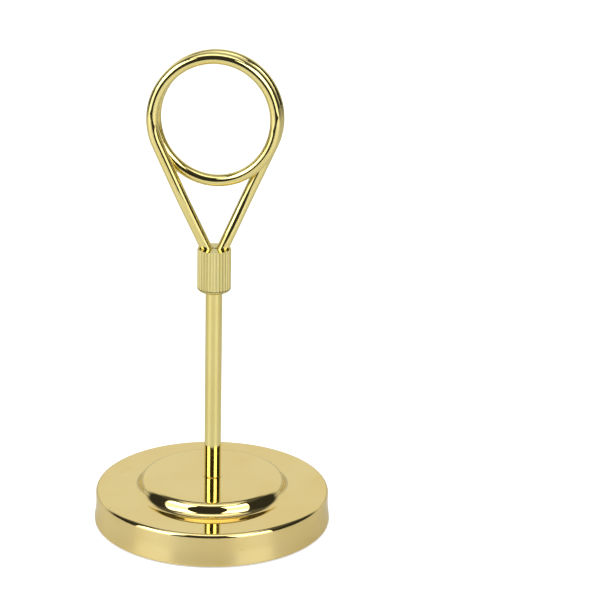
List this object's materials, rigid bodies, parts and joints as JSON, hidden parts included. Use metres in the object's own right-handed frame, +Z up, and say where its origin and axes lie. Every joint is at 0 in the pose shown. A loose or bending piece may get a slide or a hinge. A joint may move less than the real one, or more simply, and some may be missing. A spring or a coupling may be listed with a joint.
{
  "type": "table number holder",
  "caption": "Free-standing card clip: a double-coil wire ring on a fluted collar, screwed on a slim post that rises from a weighted round base with a raised centre.",
  "frame": {"origin": "centre of the foot pad's underside, where the holder stands on the table", "axes": "+Z up along the post; the ring lies in the XZ plane and -Y is the front"},
  "size_m": [0.045, 0.045, 0.0917],
  "materials": {
    "cover_gold": "polished gold-tone plating on pressed steel",
    "post_gold": "polished gold-tone plating on steel rod",
    "collar_gold": "bright gold-tone plating on a fluted sleeve",
    "wire_gold": "polished gold-tone plating on spring wire",
    "cast_iron": "rough, bare",
    "washer_zinc": "zinc plated",
    "spring_steel": "dark phosphated",
    "nut_zinc": "zinc plated",
    "foam_pad": "matte closed-cell foam"
  },
  "bodies": {
    "stand": {"base_cover": "cover_gold", "post": "post_gold", "ballast_disc": "cast_iron", "flat_washer": "washer_zinc", "lock_washer": "spring_steel", "hex_nut": "nut_zinc", "foot_pad": "foam_pad"},
    "head": {"knurled_collar": "collar_gold", "ring_clip": "wire_gold"}
  },
  "joints": [
    {"name": "head_turn", "type": "hinge", "parent": "stand", "child": "head", "pos_m": [0, 0, 0.0461], "axis": [0, 0, 1], "range_deg": [-90, 90]}
  ]
}
